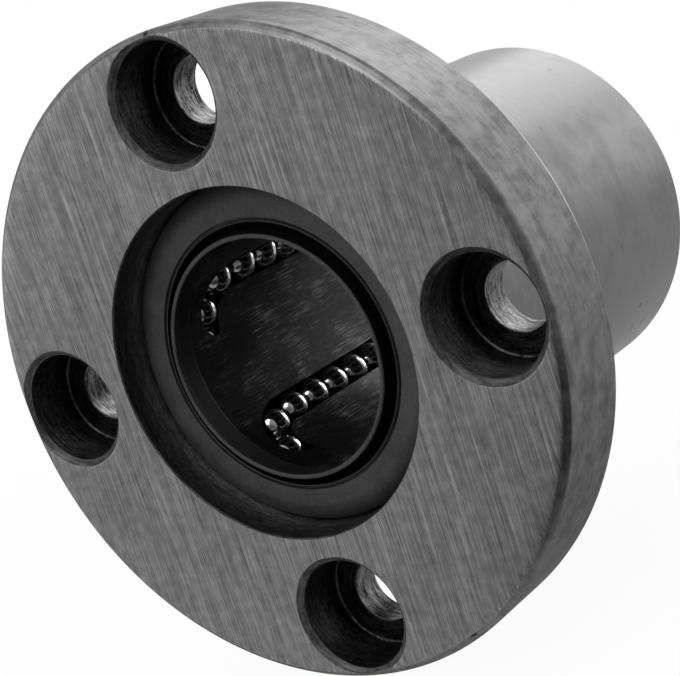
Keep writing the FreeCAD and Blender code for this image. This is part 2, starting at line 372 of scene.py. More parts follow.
@dataclass(frozen=True)
class Polished(Finish):
    """Chrome bearing steel, lapped to a mirror: nearly black in the bore, with hard white crescents."""

    name: str = "chrome_steel_lapped"
    dark: str = "#aaaaaa"
    light: str = "#c6c6c6"
    film: Grain = Grain(3.0, size=0.9)
    tone_places: Span = (0.35, 0.68)
    film_span: Span = (0.35, 0.7)
    roughness: Span = (0.10, 0.16)

    def paint(self, tree: bpy.types.NodeTree, place: bpy.types.NodeSocket) -> None:
        """A faint film of oil, which only dulls the gloss here and there.

        Args:
            tree: The material's empty tree.
            place: Object coordinates, in metres.
        """
        film = add_node(tree, "TexNoise", self.film.settings(), {"Vector": place})
        stops = shades(self.tone_places, self.light, self.dark)
        tone = add_node(tree, "ValToRGB", {"stops": stops}, {"Fac": film})
        add_surface(tree, {"Metallic": 1.0}, tone, film, self.roughness, self.film_span)


@dataclass(frozen=True)
class MouldedResin(Finish):
    """Black acetal, moulded: half glossy, with pale scuffs and dry streaks along the shaft's path.

    Real scuffs are finer. They are drawn as coarse as the picture can show.
    """

    name: str = "acetal_moulded_black"
    dark: str = "#050505"
    scuffed: str = "#dcdcdc"
    streak_width: float = 0.13
    streak_length: float = 2.4
    streaks: Grain = Grain(4.0, 0.7)
    patches: Grain = Grain(4.0, 0.6, 4.0)
    grain: Grain = Grain(4.0, size=0.4)
    patch_share: float = 0.4
    pale_middle: float = 16.0
    pale_reach: float = 17.0
    paleness: Span = (0.94, 0.78)
    tone_places: Span = (0.475, 0.64)
    worn_span: Span = (0.4, 0.6)
    roughness: Span = (0.24, 0.44)
    ior: float = 1.48
    gloss: float = 0.3
    streak_depth: float = 0.010

    def paint(self, tree: bpy.types.NodeTree, place: bpy.types.NodeSocket) -> None:
        """Streaks along Y, let through in patches, and paler halfway along the bore than towards its
        ends.

        Args:
            tree: The material's empty tree.
            place: Object coordinates, in metres.
        """
        add = partial(add_node, tree)
        streak_scale = per_mm(self.streak_width, self.streak_length, self.streak_width)
        streak_place = add("Mapping", {"Scale": streak_scale}, {"Vector": place})
        streaks = add("TexNoise", self.streaks.settings(), {"Vector": streak_place})
        patches = add("TexNoise", self.patches.settings(), {"Vector": place})
        grain = add("TexNoise", self.grain.settings(), {"Vector": place})
        # The streaks are let through most halfway along the bore and less towards both ends.
        along = add("SeparateXYZ", links={0: place}).outputs["Y"]
        past = add("Math", {"operation": "SUBTRACT", 1: self.pale_middle * MM}, {0: along})
        off = add("Math", {"operation": "ABSOLUTE"}, {0: past})
        paleness = add("MapRange", {"From Max": self.pale_reach * MM, "To Min": self.paleness[0],
                                "To Max": self.paleness[1]}, {"Value": off})
        patchy = add("Mix", {"data_type": "FLOAT", 0: self.patch_share}, {2: streaks, 3: patches})
        worn = add("Math", {"operation": "MULTIPLY"}, {0: patchy, 1: paleness})
        stops = shades(self.tone_places, self.dark, self.scuffed)
        tone = add("ValToRGB", {"stops": stops}, {"Fac": worn})
        height = add("Math", {"operation": "ADD"}, {0: streaks, 1: grain})
        add_surface(tree, {"IOR": self.ior, "Specular IOR Level": self.gloss}, tone, worn,
                    self.roughness, self.worn_span, height, self.streak_depth)


@dataclass(frozen=True)
class MouldedRubber(Finish):
    """Black nitrile rubber, moulded: matt charcoal with a fine grain, slightly dusty in places.

    The real grain is finer. It is drawn as coarse as the picture can show.
    """

    name: str = "nitrile_rubber_moulded"
    dark: str = "#232323"
    dusty: str = "#4c4c4c"
    gloss: float = 0.5
    ior: float = 1.52
    grain: Grain = Grain(3.0, 0.6, 0.16)
    dust: Grain = Grain(6.0, 0.7, 3.2)
    grain_share: float = 0.5
    tone_places: Span = (0.36, 0.64)
    roughness: Span = (0.46, 0.62)
    grain_depth: float = 0.006

    def paint(self, tree: bpy.types.NodeTree, place: bpy.types.NodeSocket) -> None:
        """Mixes grain and dust.

        Args:
            tree: The material's empty tree.
            place: Object coordinates, in metres.
        """
        add = partial(add_node, tree)
        grain = add("TexNoise", self.grain.settings(), {"Vector": place})
        dust = add("TexNoise", self.dust.settings(), {"Vector": place})
        mixed = add("Mix", {"data_type": "FLOAT", 0: self.grain_share}, {2: dust, 3: grain})
        stops = shades(self.tone_places, self.dark, self.dusty)
        tone = add("ValToRGB", {"stops": stops}, {"Fac": mixed})
        add_surface(tree, {"IOR": self.ior, "Specular IOR Level": self.gloss}, tone, dust,
                    self.roughness, height=grain, depth=self.grain_depth)


def soft_max(first: np.ndarray, second: np.ndarray | float, blend: float) -> np.ndarray:
    """The larger of two heights with the crease between them rounded.

    Half of the sum of both and the length of the vector (difference, blend).

    Args:
        first: Heights.
        second: Heights to compare with.
        blend: Width of the rounding, in the same unit.

    Returns:
        Rounded maximum, never below either.
    """
    return 0.5 * (first + second + np.hypot(first - second, blend))


def outline(corners: list[Point], closed: bool = False, steps: int = 6,
            pad: float = 0.05) -> np.ndarray:
    """A profile through corners, each rounded by its own radius.

    A rounded corner is the arc that touches both of its sides: its centre lies on their bisector at
    the radius over the sine of half the angle, and the arc turns evenly from one touching point to
    the other. A point a little before and after each arc keeps the flat beside it flat when shaded
    smooth.

    Args:
        corners: Across, along and rounding radius of each corner.
        closed: Whether the last corner joins the first.
        steps: Points on each arc.
        pad: Distance of the extra points from an arc.

    Returns:
        Points of the profile, across and along.
    """
    table = np.array(corners, float)
    spots, radii = table[:, :2], table[:, 2]
    share = np.linspace(0, 1, steps)[:, None]
    pieces = []
    for here, before, after, radius in zip(spots, np.roll(spots, 1, 0), np.roll(spots, -1, 0), radii):
        if radius <= 0:
            pieces.append(here[None])
            continue
        back = (before - here) / np.linalg.norm(before - here)
        ahead = (after - here) / np.linalg.norm(after - here)
        half = 0.5 * np.arccos(np.clip(back @ ahead, -1, 1))
        middle = here + (back + ahead) / np.linalg.norm(back + ahead) * radius / np.sin(half)
        touch = radius / np.tan(half)
        first, last = here + back * touch, here + ahead * touch
        sweep = np.pi - 2 * half
        arc = middle + (np.sin((1 - share) * sweep) * (first - middle)
                        + np.sin(share * sweep) * (last - middle)) / np.sin(sweep)
        pieces.append(np.vstack([first + back * pad, arc, last + ahead * pad]))
    line = np.vstack(pieces)
    return np.vstack([line, line[:1]]) if closed else line


def travelled(profile: np.ndarray) -> np.ndarray:
    """Distance along a profile at each of its points."""
    return np.concatenate([[0.0], np.cumsum(np.linalg.norm(np.diff(profile, axis=0), axis=1))])


def midway(values: np.ndarray) -> np.ndarray:
    """Mean of each row and the next."""
    return 0.5 * (values[1:] + values[:-1])


def revolve(profile: np.ndarray, turns: np.ndarray) -> np.ndarray:
    """Carries a profile round the bore axis: radius times cosine and sine of the turn, Y unchanged.

    Args:
        profile: Radius and Y of each row; the radius may differ from column to column.
        turns: Angle of each column, in radians.

    Returns:
        Grid of points, rows by columns by three.
    """
    radius, along = profile[..., 0], profile[..., 1]
    if radius.ndim == 1:
        radius, along = radius[:, None], along[:, None]
    along = np.broadcast_to(along, (len(radius), len(turns)))
    return np.stack([radius * np.cos(turns), along, radius * np.sin(turns)], axis=-1)


@dataclass
class Skin:
    """Patches of one piece, gathered as arrays and welded into one mesh."""

    points: list[np.ndarray] = field(default_factory=list)
    quads: list[np.ndarray] = field(default_factory=list)
    zones: list[np.ndarray] = field(default_factory=list)
    paths: list[np.ndarray] = field(default_factory=list)
    count: int = 0

    def add_grid(self, grid: np.ndarray, zones: np.ndarray | int, path: np.ndarray,
                 closed: bool = True) -> None:
        """Adds a grid of quads.

        Args:
            grid: Points, rows by columns by three, in millimetres.
            zones: Finish of each quad: one number, or an array of the quads' rows by columns or of
                one column.
            path: Tool path at each row, or rows by columns.
            closed: Whether the last column joins the first.
        """
        rows, columns = grid.shape[:2]
        number = self.count + np.arange(rows * columns).reshape(rows, columns)
        beside = np.roll(number, -1, axis=1)
        quads = np.stack([number[:-1], beside[:-1], beside[1:], number[1:]], axis=-1)
        quads = quads if closed else quads[:, :-1]
        zones = np.broadcast_to(zones, quads.shape[:2])
        quads = quads.reshape(-1, 4)
        if path.ndim == 1:
            path = np.repeat(path[:, None], columns, axis=1)
        self.points.append(grid.reshape(-1, 3))
        self.quads.append(quads)
        self.zones.append(zones.reshape(-1))
        self.paths.append(path.reshape(-1)[quads - self.count].reshape(-1))
        self.count += rows * columns

    def to_object(self, name: str) -> bpy.types.Object:
        """Welds the patches, turns their faces outwards and shades them smooth.

        Args:
            name: Name of the piece.

        Returns:
            The new object, at the origin.
        """
        mesh = bpy.data.meshes.new(name)
        mesh.from_pydata(np.concatenate(self.points) * MM, [], np.concatenate(self.quads))
        zones = np.concatenate(self.zones).astype(np.int32)
        mesh.polygons.foreach_set("material_index", zones)
        path = mesh.attributes.new(TOOL_PATH, "FLOAT", "CORNER")
        path.data.foreach_set("value", np.concatenate(self.paths))
        work = bmesh.new()
        work.from_mesh(mesh)
        bmesh.ops.remove_doubles(work, verts=work.verts, dist=WELD)
        bmesh.ops.dissolve_degenerate(work, edges=work.edges, dist=SLIVER)
        bmesh.ops.recalc_face_normals(work, faces=work.faces)
        open_edges = sum(not edge.is_manifold for edge in work.edges)
        work.to_mesh(mesh)
        work.free()
        mesh.shade_smooth()
        piece = bpy.data.objects.new(name, mesh)
        bpy.context.scene.collection.objects.link(piece)
        log.info("%s: %d faces, %d open edges", name, len(mesh.polygons), open_edges)
        return piece


class Zone(IntEnum):
    """Finishes on the steel sleeve, in the order of its material slots."""

    FACE = 0
    RIM = 1
    BODY = 2
    EDGE = 3
    COUNTERBORE = 4
    SEAT = 5
    DRILLED = 6
    RECESS = 7
    BACK = 8


@dataclass
class SteelSleeve:
    """Hardened sleeve and round flange in one piece, with four counterbored screw holes.

    The fields that end in round are the rounding radii of edges, and those that end in rows place
    the rows of the mesh: in millimetres from an edge, or as shares of the way across.
    """

    flange_radius: float = 27.0
    front: float = -8.0
    rear: float = 37.0
    body_radius: float = 16.0
    front_chamfer: float = 0.55
    rear_chamfer: float = 0.4
    body_chamfer: float = 0.6
    bolt_radius: float = 21.5
    bolts: int = 4
    hole_radius: float = 2.75
    counterbore_radius: float = 4.75
    counterbore_floor: float = -2.9
    counterbore_chamfer: float = 0.5
    recess_radius: float = 14.5
    recess_depth: float = 4.8
    mouth_radius: float = 14.58
    mouth_lead: float = 0.16
    relief_radius: float = 14.285
    raceway_radius: float = 13.205
    race_start: float = 4.83
    race_ramp: float = 1.8
    groove_radius: float = 1.6875
    groove_centre: float = 12.5475
    groove_turn: float = 30.62
    circuits: int = 5
    face_inner: float = 14.95
    back_outer: float = 26.35
    back_inner: float = 16.25
    back_hole: float = 3.0
    rim_blend: float = 0.22
    mouth_blend: float = 0.06
    mouth_fade: Span = (0.6, 0.45)
    floor_round: float = 0.22
    seat_round: float = 0.10
    exit_round: float = 0.12
    rim_round: float = 0.5
    back_round: float = 0.2
    foot_round: float = 0.15
    body_round: float = 0.3
    end_round: float = 0.25
    mouth_round: float = 0.04
    lead_round: float = 0.08
    arc_steps: int = 64
    hole_steps: int = 40
    rim_steps: int = 9
    ramp_steps: int = 8
    edge_rows: tuple[float, ...] = (.3, .24, .18, .12, .06, 0, -.06, -.12, -.22, -.7)
    face_rows: tuple[float, ...] = (.08, .2, .34, .48, .62, .76, .88, .96, 1)
    mouth_rows: tuple[float, ...] = (0, .04, .10, .17, .24, .31, .38, .44, .50, .56, .65)
    open_rows: tuple[float, ...] = (.06, .2, .4, .6, .8, .94, 1)
    crease_rows: tuple[float, ...] = (-.12, -.06, 0, .06, .12, .18, .24)
    crease_start: float = -0.22
    wall_lead: float = 0.05
    back_rows: tuple[float, ...] = (0, .02, .1, .3, .6, .9, 1)
    # Margins by which a strip of the mesh has to pass a line to get the finish beyond it.
    hair: float = 0.02
    seat_inset: float = 0.2
    end_inset: float = 0.05
    foot_height: float = 0.2
    finishes: dict[Zone, Finish] = field(default_factory=lambda: {
        Zone.FACE: GroundFlat(),
        Zone.RIM: GroundRound("hardened_steel_rim_ground", "#6e6e6e", "#989898",
                              clouds=Grain(6.0, 0.68, 1.5), edge_tint=0.5, roughness=(0.30, 0.46)),
        Zone.BODY: GroundRound("hardened_steel_body_ground", "#6e6e6e", "#7c7c7c"),
        Zone.EDGE: Turned("hardened_steel_turned_edge", "#484848", "#808080",
                          roughness=(0.54, 0.70), ring_depth=0.005),
        # Painted shade: the counterbores' walls are coloured dark, and their screw seats darker still,
        # for the shade inside the screw holes; the tool rings on them are real.
        Zone.COUNTERBORE: Turned("hardened_steel_counterbored_painted_shade", "#202020", "#6c6c6c",
                                 grain=Grain(4.0, 0.75, 0.32), grain_share=0.5, ring_depth=0.06),
        Zone.SEAT: Turned("hardened_steel_screw_seat_painted_shade", "#141414", "#484848", ring_depth=0.03),
        Zone.DRILLED: Turned("hardened_steel_drilled", "#202020", "#a8a8a8", ring_width=0.3,
                             ring_depth=0.06),
        Zone.RECESS: Turned("hardened_steel_recess", "#444444", "#707070"),
        Zone.BACK: Turned("hardened_steel_seating_face", "#747474", "#969696", ring_length=9.0,
                          grain_share=0.2, roughness=(0.30, 0.42), ring_depth=0.003),
    })

    @property
    def face_edge(self) -> float:
        """Radius at which the face meets the rim's broken edge."""
        return self.flange_radius - self.front_chamfer

    @property
    def hole_mouth(self) -> float:
        """Radius of a counterbore where its broken edge meets the face."""
        return self.counterbore_radius + self.counterbore_chamfer

    @property
    def hole_reach(self) -> float:
        """Angle about the bore axis from a screw hole to the end of its share of the flange."""
        return np.pi / self.bolts * self.hole_steps / self.arc_steps

    def turns(self) -> np.ndarray:
        """Angles of the columns round the bore axis, even from halfway between two screw holes."""
        count = self.bolts * self.arc_steps
        return -np.pi / self.bolts + 2 * np.pi * np.arange(count) / count

    def face_sides(self) -> np.ndarray:
        """Rows down the front between two screw holes, crowded at the broken edge.

        Returns:
            Radii of the rows, from the rim inwards.
        """
        crowd = self.face_edge + np.array(self.edge_rows)
        inward = np.array(self.face_rows) * (self.face_inner - crowd[-1])
        return np.concatenate([crowd, crowd[-1] + inward])

    def back_sides(self) -> np.ndarray:
        """Radii of the rows down the back, as many as on the front."""
        front = self.face_sides()
        return np.interp(front, (front[-1], front[0]), (self.back_inner, self.back_outer))

    def rays(self, side: np.ndarray) -> tuple[np.ndarray, np.ndarray]:
        """Rays from a screw hole's centre to the border of the flange's share round it.

        The border runs along the outer arc, down a side, back along the inner arc and up a side.

        Args:
            side: Radii of the points along a side, from the outer arc to the inner one.

        Returns:
            Angle and length of each ray.
        """
        reach = self.hole_reach
        swing = np.linspace(-reach, reach, self.hole_steps + 1)
        arc, flat = np.ones(self.hole_steps), np.ones(len(side) - 1)
        radius = np.concatenate([side[0] * arc, side[:-1], side[-1] * arc, side[:0:-1]])
        angle = np.concatenate([swing[:-1], reach * flat, swing[:0:-1], -reach * flat])
        out, across = radius * np.cos(angle) - self.bolt_radius, radius * np.sin(angle)
        return np.unwrap(np.arctan2(across, out)), np.hypot(out, across)

    def from_axis(self, distance: np.ndarray, angle: np.ndarray) -> np.ndarray:
        """Distance from the bore axis of polar places about a screw hole's axis."""
        return np.hypot(self.bolt_radius + distance * np.cos(angle), distance * np.sin(angle))

    def face_height(self, radius: np.ndarray | float) -> np.ndarray:
        """Y of the front at a radius: the flat face, falling away at 45 degrees towards the rim."""
        fall = self.front + (np.asarray(radius, float) - self.face_edge)
        return soft_max(fall, self.front, self.rim_blend)

    def add_wedges(self, skin: Skin, side: np.ndarray, along: np.ndarray,
                   zones: np.ndarray | int) -> None:
        """Adds the plain wedges of the flange between the screw holes' shares.

        Args:
            skin: Skin that takes them.
            side: Radii of their rows.
            along: Y of their rows.
            zones: Finish of their rows.
        """
        columns = self.arc_steps - self.hole_steps
        width = 2 * (np.pi / self.bolts - self.hole_reach)
        swing = self.hole_reach + np.linspace(0, width, columns + 1)
        profile = np.stack([side, along], axis=1)
        for number in range(self.bolts):
            turns = swing + 2 * np.pi * number / self.bolts
            skin.add_grid(revolve(profile, turns), zones, side, closed=False)

    def spread(self, distance: np.ndarray, angle: np.ndarray, along: np.ndarray) -> list[np.ndarray]:
        """Points round each screw hole, from polar places about the hole's own axis.

        Args:
            distance: Distance from the hole's axis, rows by columns.
            angle: Angle about it, of the same shape or one row.
            along: Y of each point.

        Returns:
            One grid for each screw hole.
        """
        out = self.bolt_radius + distance * np.cos(angle)
        side = distance * np.sin(angle)
        along = np.broadcast_to(along, out.shape)
        turns = 2 * np.pi * np.arange(self.bolts) / self.bolts
        return [np.stack([out * np.cos(turn) - side * np.sin(turn), along,
                          out * np.sin(turn) + side * np.cos(turn)], axis=-1) for turn in turns]

    def front_rows(self) -> tuple[np.ndarray, np.ndarray, np.ndarray]:
        """Rows of the front round one screw hole, from the counterbore's wall out to the border.

        The height is the rounded maximum of the front and of the 45 degree cone that breaks the
        counterbore's mouth, faded into the front beyond the mouth. Rows crowd where either has a
        crease. A ray leaves a circle about the bore axis at the root of the squared radius less the
        squared offset of the ray, less the hole's distance times the cosine of the ray's angle.

        Returns:
            Distances from the hole's axis, angles of the rays and heights.
        """
        angle, end = self.rays(self.face_sides())
        near = np.minimum(self.counterbore_radius + np.array(self.mouth_rows)[:, None], end)
        offset, centre = self.bolt_radius * np.sin(angle), self.bolt_radius * np.cos(angle)
        circles = self.face_edge + np.array([self.crease_start, *self.crease_rows])[:, None]
        crossing = np.sqrt(circles ** 2 - offset ** 2) - centre
        stop = np.clip(crossing[0], near[-1], end)
        middle = near[-1] + np.array(self.open_rows)[:, None] * (stop - near[-1])
        distance = np.vstack([near, middle, np.clip(crossing[1:], stop, end), end])
        face = self.face_height(self.from_axis(distance, angle))
        start, width = self.mouth_fade
        fade = np.clip((self.hole_mouth + start - distance) / width, 0, 1)
        cone = soft_max(face, self.front + (self.hole_mouth - distance), self.mouth_blend)
        height = face + fade * (cone - face)
        height[-1] = face[-1]
        return distance, angle, height

    def build(self) -> bpy.types.Object:
        """Makes the whole skin: front, screw holes, back of the flange, rim, body and bore.

        Returns:
            The sleeve's object.
        """
        skin = Skin()
        self.add_front_and_holes(skin)
        self.add_rim(skin)
        self.add_body_and_bore(skin)
        return skin.to_object("flanged_sleeve_ground")

    def add_front_and_holes(self, skin: Skin) -> None:
        """Adds the face, the counterbored holes and the flange's back, alike round every screw hole.

        A hole's wall turns evenly, along its path, from the rays of the front to those of the back.

        Args:
            skin: Skin that takes them.
        """
        distance, angle, height = self.front_rows()
        mid_row = midway(distance)
        mid = 0.5 * (mid_row + np.roll(mid_row, -1, axis=1))
        mid_radius = midway(self.from_axis(distance, angle))
        cone = self.front + self.hole_mouth - mid > self.face_height(mid_radius)
        zones = np.select([cone, mid_radius > self.face_edge], [Zone.EDGE, Zone.RIM], Zone.FACE)
        for grid in self.spread(distance, angle, height):
            skin.add_grid(grid, zones, distance)
        side = self.face_sides()
        wedge_zones = np.where(midway(side) > self.face_edge, Zone.RIM, Zone.FACE)[:, None]
        self.add_wedges(skin, side, self.face_height(side), wedge_zones)

        back_side = self.back_sides()
        back_angle, back_end = self.rays(back_side)
        wall_top = float(height[0].mean())
        wall = outline([
            (self.counterbore_radius, wall_top, 0),
            (self.counterbore_radius, wall_top + self.wall_lead, 0),
            (self.counterbore_radius, self.counterbore_floor, self.floor_round),
            (self.hole_radius, self.counterbore_floor, self.seat_round),
            (self.hole_radius, 0.0, self.exit_round),
            (self.back_hole, 0.0, 0),
        ])
        path = travelled(wall)
        share = (path / path[-1])[:, None]
        change = (back_angle - angle + np.pi) % (2 * np.pi) - np.pi
        across, along = (np.repeat(wall[:, [i]], len(angle), axis=1) for i in (0, 1))
        along[0] = height[0]
        mid_across, mid_along = midway(wall).T
        drilled = mid_along > self.counterbore_floor + self.hair
        seat = mid_across < self.counterbore_radius - self.seat_inset
        hole_zones = np.select([drilled, seat], [Zone.DRILLED, Zone.SEAT], Zone.COUNTERBORE)[:, None]
        for grid in self.spread(across, angle + share * change, along):
            skin.add_grid(grid, hole_zones, path)

        back = self.back_hole + np.array(self.back_rows)[:, None] * (back_end - self.back_hole)
        for grid in self.spread(back, back_angle, np.zeros_like(back)):
            skin.add_grid(grid, Zone.BACK, self.from_axis(back, back_angle))
        self.add_wedges(skin, back_side, np.zeros_like(back_side), Zone.BACK)

    def add_rim(self, skin: Skin) -> None:
        """Adds the rim, a profile carried round the axis, from the front's border to the back's.

        Args:
            skin: Skin that takes it.
        """
        face_outer = float(self.face_sides()[0])
        rim = outline([
            (face_outer, float(self.face_height(face_outer)), 0),
            (self.flange_radius, self.front + self.front_chamfer, self.rim_round),
            (self.flange_radius, -self.rear_chamfer, self.rim_round),
            (self.flange_radius - self.rear_chamfer, 0.0, self.back_round),
            (self.back_outer, 0.0, 0),
        ], steps=self.rim_steps)
        skin.add_grid(revolve(rim, self.turns()), Zone.RIM, travelled(rim))

    def add_body_and_bore(self, skin: Skin) -> None:
        """Adds the body, both recesses and the raceway with its return grooves.

        Inside, the radius is the larger of the turned profile and of the grooves: a groove reaches
        the centre distance times the cosine of the turn away from it, plus the root of the squared
        groove radius less the squared offset.

        Args:
            skin: Skin that takes them.
        """
        race_end = self.front + self.rear - self.race_start
        climb = self.relief_radius - self.raceway_radius
        ramp = np.linspace(0, 1, self.ramp_steps)[1:-1]
        rear_ramp = [(self.relief_radius - climb * s, race_end + self.race_ramp * (1 - s), 0)
                     for s in ramp]
        front_ramp = [(self.raceway_radius + climb * s, self.race_start - self.race_ramp * s, 0)
                      for s in ramp]
        profile = outline([
            (self.back_inner, 0.0, 0),
            (self.body_radius, 0.0, self.foot_round),
            (self.body_radius, self.rear - self.body_chamfer, self.body_round),
            (self.body_radius - self.body_chamfer, self.rear, self.end_round),
            (self.mouth_radius, self.rear, self.mouth_round),
            (self.recess_radius, self.rear - self.mouth_lead, self.lead_round),
            (self.recess_radius, self.rear - self.recess_depth, 0),
            (self.relief_radius, self.rear - self.recess_depth, 0),
            (self.relief_radius, race_end + self.race_ramp, 0),
            *rear_ramp,
            (self.raceway_radius, race_end, 0),
            (self.raceway_radius, self.race_start, 0),
            *front_ramp,
            (self.relief_radius, self.race_start - self.race_ramp, 0),
            (self.relief_radius, self.front + self.recess_depth, 0),
            (self.recess_radius, self.front + self.recess_depth, 0),
            (self.recess_radius, self.front + self.mouth_lead, self.lead_round),
            (self.mouth_radius, self.front, self.mouth_round),
            (self.face_inner, float(self.face_height(self.face_inner)), 0),
        ])
        turns = self.turns()
        share = 2 * np.pi / self.circuits
        away = (turns - np.radians(self.groove_turn) + share / 2) % share - share / 2
        offset = np.minimum(np.abs(self.groove_centre * np.sin(away)), self.groove_radius)
        groove = self.groove_centre * np.cos(away) + np.sqrt(self.groove_radius ** 2 - offset ** 2)
        groove = np.where(offset < self.groove_radius, groove, 0.0)
        radius, along = (np.repeat(profile[:, [i]], len(turns), axis=1) for i in (0, 1))
        inside = profile[:, 0] < self.relief_radius + self.hair
        radius[inside] = np.maximum(radius[inside], groove)
        mid_radius, mid_along = midway(profile).T
        lead = (mid_along < self.front + self.mouth_lead) | (mid_along > self.rear - self.mouth_lead)
        body = mid_radius > self.body_radius - self.body_chamfer - self.end_inset
        zones = np.select([
            (mid_radius > self.mouth_radius + self.hair) & (mid_along < 0.5 * self.front),
            lead | (mid_radius > self.body_radius),
            body & (mid_along > self.foot_height),
            mid_radius > self.relief_radius - self.hair,
        ], [Zone.FACE, Zone.EDGE, Zone.BODY, Zone.RECESS], Zone.BODY)[:, None]
        grid = revolve(np.stack([radius, along], axis=-1), turns)
        skin.add_grid(grid, zones, travelled(profile))

    def dress(self, piece: bpy.types.Object) -> None:
        """Gives the sleeve its finishes and its body, and hides the node that it stands for.

        Args:
            piece: The sleeve's object.
        """
        for zone in Zone:
            piece.data.materials.append(self.finishes[zone].material())
        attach(piece, BEARING)
        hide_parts("flanged_sleeve")


class End(IntEnum):
    """The bearing's two ends."""

    FRONT = 0
    REAR = 1


@dataclass
class WiperSeal:
    """Moulded rubber ring in a recess: round shoulder, flat face, fine groove, deep valley and a lip.

    The fields that end in round are the rounding radii of edges.
    """

    end: End
    finish: Finish = MouldedRubber()
    # Painted shade: from just behind the lip's tip, the valley, the lip's flanks and the seal's bore
    # are coloured nearly black with little gloss, for the shade that falls in them.
    painted_shade_finish: Finish = MouldedRubber("nitrile_rubber_valley_and_bore_painted_shade", "#060606", "#101010",
                                        gloss=0.15)
    outer_radius: float = 14.5
    back: float = -3.2
    face: float = -5.3
    shoulder_round: float = 1.8
    groove_outer: float = 11.37
    groove_inner: float = 11.17
    groove_depth: float = 0.35
    land_edge: float = 11.0
    valley_radius: float = 10.62
    valley_depth: float = 1.5
    lip_outer: float = 10.2
    lip_inner: float = 9.85
    lip_rise: float = 0.65
    lip_land: float = 0.45
    lip_flare: float = 0.4
    back_radius: float = 10.35
    heel_round: float = 0.12
    groove_outer_round: float = 0.06
    groove_floor_round: float = 0.05
    groove_inner_round: float = 0.08
    land_round: float = 0.12
    valley_round: float = 0.05
    lip_outer_round: float = 0.14
    lip_inner_round: float = 0.12
    bore_round: float = 0.1
    flat_pad: float = 0.02
    # Depth behind the lip's tip from which the faces inside the land get the painted shade.
    painted_shade_start: float = 0.2
    # Y of the front ring and of the rear one add up to this.
    mirror: float = 29.0
    columns: int = 256

    def profile(self) -> np.ndarray:
        """Outlines the front ring.

        Returns:
            Radius and Y of each point, the last one the same as the first.
        """
        tip = self.face - self.lip_rise
        floor = self.face + self.groove_depth
        return outline([
            (self.outer_radius, self.back, self.heel_round),
            (self.outer_radius, self.face, self.shoulder_round),
            (self.groove_outer, self.face, self.groove_outer_round),
            (self.groove_outer, floor, self.groove_floor_round),
            (self.groove_inner, floor, self.groove_floor_round),
            (self.groove_inner, self.face, self.groove_inner_round),
            (self.land_edge, self.face, self.land_round),
            (self.valley_radius, self.face + self.valley_depth, self.valley_round),
            (self.lip_outer, tip, self.lip_outer_round),
            (self.lip_inner, tip, self.lip_inner_round),
            (self.lip_inner, tip + self.lip_land, self.bore_round),
            (self.back_radius, tip + self.lip_land + self.lip_flare, self.bore_round),
            (self.back_radius, self.back, self.bore_round),
        ], closed=True, pad=self.flat_pad)

    def build(self) -> bpy.types.Object:
        """Carries the outline round the bore axis; the rear ring is the front one turned round.

        Returns:
            The seal's object.
        """
        profile = self.profile()
        mid_radius, mid_along = midway(profile).T
        # Painted shade: faces behind the lip's tip and inside the land take the second, nearly black
        # rubber.
        deep = mid_along > self.face - self.lip_rise + self.painted_shade_start
        zones = (deep & (mid_radius < self.land_edge)).astype(int)[:, None]
        if self.end is End.REAR:
            profile[:, 1] = self.mirror - profile[:, 1]
        turns = 2 * np.pi * np.arange(self.columns) / self.columns
        skin = Skin()
        skin.add_grid(revolve(profile, turns), zones, travelled(profile))
        return skin.to_object(f"{self.end.name.lower()}_wiper_seal")

    def dress(self, piece: bpy.types.Object) -> None:
        """Gives the seal its rubber and its body, and hides the node that it stands for.

        Args:
            piece: The seal's object.
        """
        for finish in (self.finish, self.painted_shade_finish):
            piece.data.materials.append(finish.material())
        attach(piece, BEARING)
        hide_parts(f"{self.end.name.lower()}_seal")


@dataclass
class BallTracks:
    """Moulded retainer and the balls in it, whose solids keep their shape."""

    retainer_finish: Finish = MouldedResin()
    ball_finish: Finish = Polished()

    def dress(self, nodes: dict[str, bpy.types.Object]) -> None:
        """Puts the finishes on the retainer's and the balls' own solids.

        Args:
            nodes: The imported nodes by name.
        """
        resin, steel = self.retainer_finish.material(), self.ball_finish.material()
        nodes["ball_retainer"].data.materials[0] = resin
        for name, node in nodes.items():
            if "balls" in name:
                node.data.materials[0] = steel


@dataclass(frozen=True)
class SoftLamp:
    """A square soft lamp that faces the bearing: its place and side in millimetres, its power."""

    name: str
    place: Point
    side: float
    watts: float

    def build(self) -> None:
        """Adds the lamp."""
        data = bpy.data.lights.new(self.name, "AREA")
        data.size, data.energy = self.side * MM, self.watts
        lamp = bpy.data.objects.new(self.name, data)
        lamp.location = Vector(self.place) * MM
        lamp.rotation_euler = (-lamp.location).to_track_quat("-Z", "Y").to_euler()
        bpy.context.scene.collection.objects.link(lamp)


